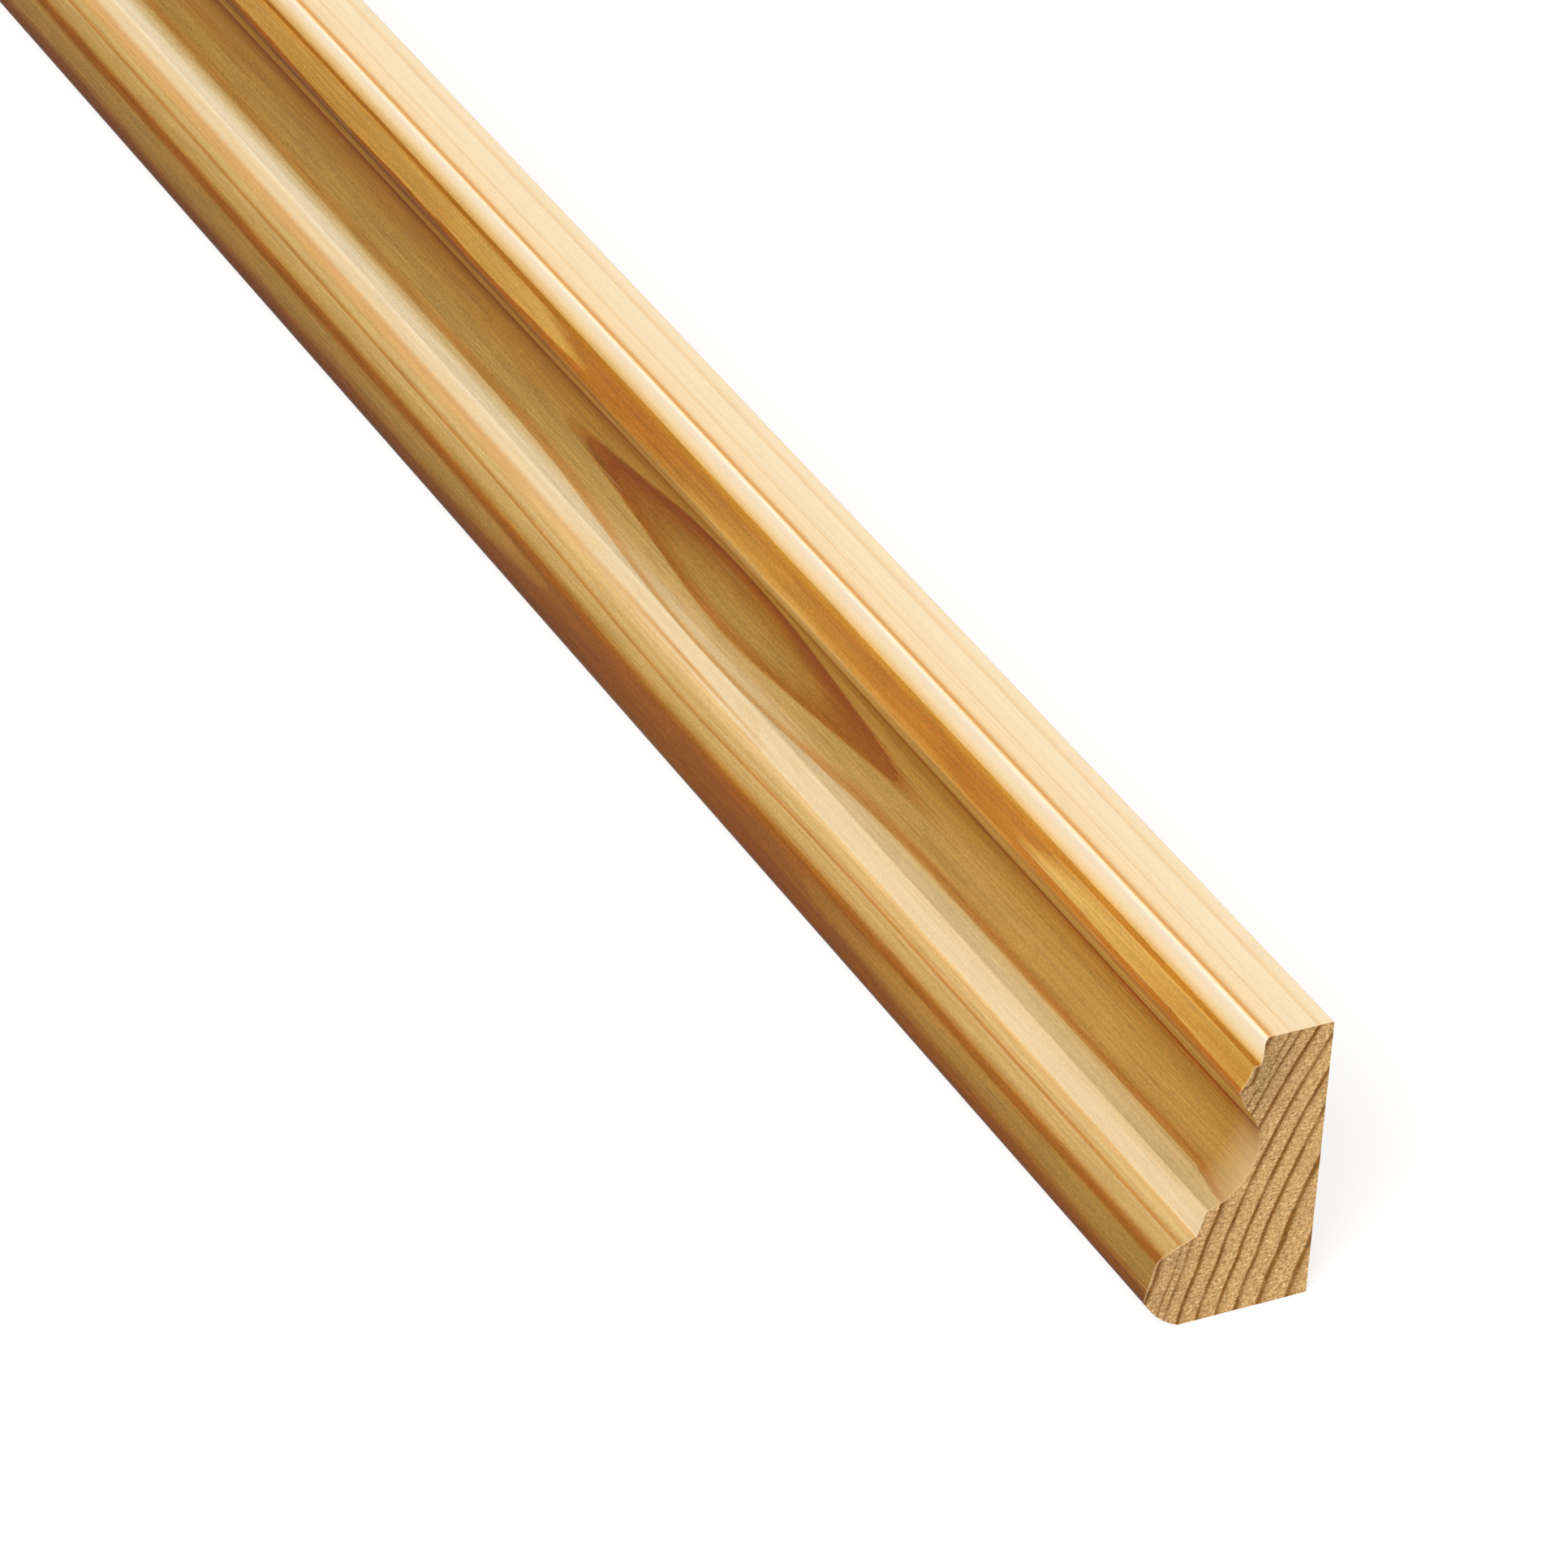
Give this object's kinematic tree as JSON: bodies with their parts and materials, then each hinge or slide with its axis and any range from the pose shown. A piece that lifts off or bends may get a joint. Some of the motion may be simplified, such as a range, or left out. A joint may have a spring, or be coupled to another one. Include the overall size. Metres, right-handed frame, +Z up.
{
  "type": "corner moulding",
  "caption": "Length of planed pine corner moulding: flat back and base, and a front worked with fillets, a bead, a deep cove and a torus, to cover the joint where two faces meet.",
  "frame": {"origin": "middle of the footprint, on the floor that the base rests on", "axes": "+X along the length, +Y to the flat back so that the worked front faces -Y, +Z up from the base to the top face"},
  "size_m": [2.4, 0.023, 0.04],
  "materials": {
    "pine": "planed bare pine, satin on the worked faces and rough on the sawn ends"
  },
  "bodies": {
    "root": {"corner_moulding": "pine"}
  },
  "joints": []
}
